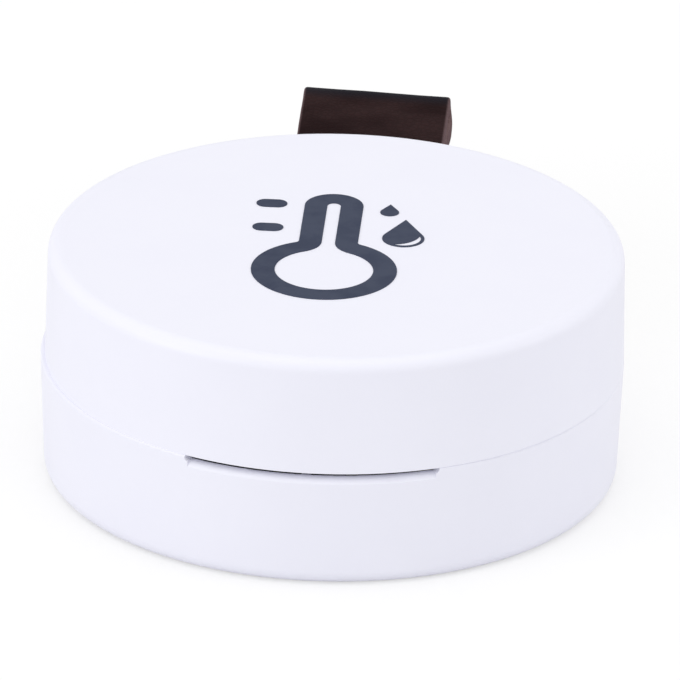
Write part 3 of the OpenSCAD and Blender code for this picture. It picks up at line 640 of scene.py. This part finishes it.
strip, given, result = geometry_group("folded_strip", {
    "Width": "Float", "Thickness": "Float", "Edge Radius": "Float",
    "Ripple": "Float", "Ripple Scale": "Float", "Material": "Material"})
lie = put(strip, "GeometryNodeInputNamedAttribute", data_type="FLOAT_VECTOR", Name="across").outputs[0]
route = put(strip, "GeometryNodeMeshToCurve", Mesh=given["Geometry"]).outputs[0]
route = put(strip, "GeometryNodeSetCurveNormal", mode="FREE", Curve=route, Normal=lie).outputs[0]
length = put(strip, "GeometryNodeSplineParameter").outputs["Length"]
route, length = remember(strip, route, "FLOAT", length)
section = put(strip, "GeometryNodeCurvePrimitiveQuadrilateral", Width=given["Width"],
              Height=given["Thickness"]).outputs[0]
section = put(strip, "GeometryNodeFilletCurve", mode="POLY", Curve=section, Count=4,
              Radius=given["Edge Radius"]).outputs[0]
section = put(strip, "GeometryNodeSubdivideCurve", Curve=section, Cuts=4).outputs[0]
section, spot = remember(strip, section, "VECTOR", put(strip, "GeometryNodeInputPosition").outputs[0])
body = put(strip, "GeometryNodeCurveToMesh", Curve=route, Profile_Curve=section, Fill_Caps=True).outputs[0]
spots = put(strip, "ShaderNodeSeparateXYZ", Vector=spot).outputs
half_w = reckon(strip, "MULTIPLY", given["Width"], 0.5)
from_edge = reckon(strip, "SUBTRACT", half_w, reckon(strip, "ABSOLUTE", spots["X"]))
cut = between(strip, from_edge, low=0.0, high=given["Edge Radius"], to_low=1.0, to_high=0.0)
inside = reckon(strip, "GREATER_THAN", spots["Y"], 0.0)
laid_flat = put(strip, "ShaderNodeCombineXYZ", X=length, Y=spots["X"]).outputs[0]
for name, kind, domain, value in (("strip_map", "FLOAT2", "CORNER", laid_flat),
                                  ("cut_edge", "FLOAT", "POINT", cut),
                                  ("flesh_side", "FLOAT", "POINT", inside)):
    body = put(strip, "GeometryNodeStoreNamedAttribute", data_type=kind, domain=domain, Geometry=body,
               Name=name, Value=value).outputs[0]
wave = put(strip, "ShaderNodeTexNoise", Scale=given["Ripple Scale"], Detail=1.0).outputs["Fac"]
swell = reckon(strip, "MULTIPLY", reckon(strip, "SUBTRACT", wave, 0.5), given["Ripple"])
shift = stretch(strip, put(strip, "GeometryNodeInputNormal").outputs[0], swell)
body = put(strip, "GeometryNodeSetPosition", Geometry=body, Offset=shift).outputs[0]
end_tree(strip, body, given["Material"], result)

leather = bpy.data.materials.new("raw_edged_leather")
leather.use_nodes = True
tree = leather.node_tree
surface = tree.nodes["Principled BSDF"]
sheet = put(tree, "ShaderNodeUVMap", uv_map="strip_map").outputs[0]
cut = put(tree, "ShaderNodeAttribute", attribute_name="cut_edge").outputs["Fac"]
flesh = put(tree, "ShaderNodeAttribute", attribute_name="flesh_side").outputs["Fac"]
along = put(tree, "ShaderNodeSeparateXYZ", Vector=sheet).outputs["X"]
patches = cloudy(tree, stretch(tree, sheet, (1.0, 0.6, 1.0)), scale=230.0, detail=2.5)
patches = between(tree, patches, low=0.32, high=0.7)
pebbles = put(tree, "ShaderNodeTexVoronoi", feature="DISTANCE_TO_EDGE", Vector=sheet, Scale=2300.0)
pebbles = between(tree, pebbles.outputs["Distance"], low=0.0, high=0.22)
pores = cloudy(tree, sheet, scale=9000.0)
creases = cloudy(tree, stretch(tree, sheet, (700.0, 180.0, 1.0)), scale=1.0, detail=3.0)
creases = between(tree, creases, low=0.52, high=0.75)
fibres = cloudy(tree, stretch(tree, sheet, (5200.0, 900.0, 1.0)), scale=1.0, detail=4.0)
# Painted shade: the furrows between the grain's pebbles are coloured darker
painted_furrow_shade = reckon(tree, "MULTIPLY", reckon(tree, "SUBTRACT", 1.0, pebbles), furrow_shade_share)
from_fold = reckon(tree, "ABSOLUTE", reckon(tree, "SUBTRACT", along, fold_at))
# Painted shade with a bluish painted reflection along the fold's crest, fading out away from it
painted_fold_mask = between(tree, from_fold, low=fold_band, high=fold_fade, to_low=painted_fold_share, to_high=0.0)

grain_side = tint(tree, patches, hide_dark, hide_light)
grain_side = tint(tree, painted_furrow_shade, grain_side, furrow_painted_shade)
# The fold's crest is painted darker and bluish: painted shade and a cool painted reflection
grain_side = tint(tree, painted_fold_mask, grain_side, painted_fold_shade)
both_sides = tint(tree, flesh, grain_side, tint(tree, fibres, flesh_dark, flesh_light))
raw_edge = tint(tree, fibres, edge_dark, edge_light)
feed(tree, surface.inputs["Base Color"], tint(tree, cut, both_sides, raw_edge))
gloss = between(tree, patches, low=0.0, high=1.0, to_low=0.68, to_high=0.58)
feed(tree, surface.inputs["Roughness"], reckon(tree, "MAXIMUM", cut, gloss))
pitted = reckon(tree, "ADD", reckon(tree, "MULTIPLY", pores, pore_share),
                reckon(tree, "MULTIPLY", creases, crease_share))
grain = reckon(tree, "ADD", reckon(tree, "MULTIPLY", pebbles, pebble_share), pitted)
relief = put(tree, "ShaderNodeMix", Factor=cut, A=grain, B=fibres).outputs[0]
bump = put(tree, "ShaderNodeBump", Height=relief, Distance=hide_relief)
feed(tree, surface.inputs["Normal"], bump.outputs["Normal"])
surface.inputs["Specular IOR Level"].default_value = 0.05

grow(strap, strip, Width=strap_w, Thickness=layer_t - layer_clear, Edge_Radius=edge_r, Ripple=ripple,
     Ripple_Scale=ripple_scale, Material=leather)
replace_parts(settle(strap), "strap_root", "strap_loop")
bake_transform(strap)

# Lid and its print
# The upper half of the puck, moulded in the same white ABS and pushed into the base by its lip. The
# thermometer and drops on it are screen printed in slate-grey ink.
dress(white_abs, "case_lid")
ink = finish("slate_screen_ink", moulded, {
    "Pale": (0.0275, 0.0395, 0.081, 1), "Deep": (0.0235, 0.0335, 0.072, 1), "Smooth": 0.55, "Rough": 0.65,
    "Cloud Scale": 450.0, "Grain Scale": 9000.0}, relief=0.000003, Specular_IOR_Level=0.3)
dress(ink, "printed_symbol")

# Stage
# A plain white table in soft light: an even sky, a wide lamp overhead, one from the front left and a
# weaker one from the right. The camera stands where the photograph was taken from.
table_half, table_drop = 3.0, 0.00002
# To the camera the table is half lit by the lamps and half by itself, so it is white and keeps a soft shadow
table_white, table_seen, table_glow = (0.79, 0.79, 0.8, 1), (0.5, 0.5, 0.5, 1), 0.5
sky_light = 0.83
middle = Vector((0, 0, 0.008))
camera_azimuth, camera_elevation, camera_roll = 3.9, 24.117, math.radians(1.132)
camera_away, camera_aside, camera_above = 1.04992, 0.000527, 0.001294
camera_sensor, camera_lens, camera_near, camera_far = 36.0, 810.8, 0.01, 20.0

table = seed("table")
top = bmesh.new()
bmesh.ops.create_grid(top, x_segments=1, y_segments=1, size=table_half)
top.transform(Matrix.Translation((0, 0, -table_drop)))
top.to_mesh(table.data)
top.free()

paper = bpy.data.materials.new("white_table")
paper.use_nodes = True
tree = paper.node_tree
surface = tree.nodes["Principled BSDF"]
ray = put(tree, "ShaderNodeLightPath").outputs
mirrored = reckon(tree, "MAXIMUM", ray["Is Glossy Ray"], ray["Is Transmission Ray"])
seen = reckon(tree, "MAXIMUM", ray["Is Camera Ray"], mirrored)
feed(tree, surface.inputs["Base Color"], tint(tree, seen, table_white, table_seen))
feed(tree, surface.inputs["Emission Strength"], reckon(tree, "MULTIPLY", seen, table_glow))
surface.inputs["Emission Color"].default_value = (1, 1, 1, 1)
surface.inputs["Roughness"].default_value = 1.0
surface.inputs["Specular IOR Level"].default_value = 0.0
table.data.materials.append(paper)

sky = bpy.data.worlds.new("studio_sky")
sky.use_nodes = True
sky.node_tree.nodes["Background"].inputs["Color"].default_value = (1, 1, 1, 1)
sky.node_tree.nodes["Background"].inputs["Strength"].default_value = sky_light
bpy.context.scene.world = sky


def towards(azimuth, elevation):
    """The direction to a point seen from the middle. Azimuth 0 is the front and 90 the right."""
    a, e = math.radians(azimuth), math.radians(elevation)
    return Vector((math.sin(a) * math.cos(e), -math.cos(a) * math.cos(e), math.sin(e)))


def soft_lamp(name, azimuth, elevation, distance, width, power):
    """A square lamp that faces the middle."""
    light = bpy.data.lights.new(name, "AREA")
    light.size, light.energy = width, power
    made = bpy.data.objects.new(name, light)
    made.location = middle + towards(azimuth, elevation) * distance
    made.rotation_euler = towards(azimuth, elevation).to_track_quat("Z", "Y").to_euler()
    bpy.context.scene.collection.objects.link(made)


soft_lamp("overhead_lamp", azimuth=0, elevation=80, distance=0.9, width=0.8, power=1.5)
soft_lamp("left_lamp", azimuth=-56, elevation=12, distance=0.9, width=0.35, power=1.4)
soft_lamp("right_lamp", azimuth=85, elevation=12, distance=0.9, width=0.35, power=0.8)

camera = bpy.data.cameras.new("camera")
camera.sensor_width, camera.lens = camera_sensor, camera_lens
camera.clip_start, camera.clip_end = camera_near, camera_far
lookout = bpy.data.objects.new("camera", camera)
bpy.context.scene.collection.objects.link(lookout)
back = towards(camera_azimuth, camera_elevation)
level = towards(camera_azimuth + 90, 0)
upright = back.cross(level)
right = level * math.cos(camera_roll) + upright * math.sin(camera_roll)
up = upright * math.cos(camera_roll) - level * math.sin(camera_roll)
lookout.matrix_world = Matrix((right, up, back)).transposed().to_4x4()
lookout.location = middle + back * camera_away + right * camera_aside + up * camera_above
bpy.context.scene.camera = lookout
bpy.context.scene.view_settings.view_transform = "Standard"
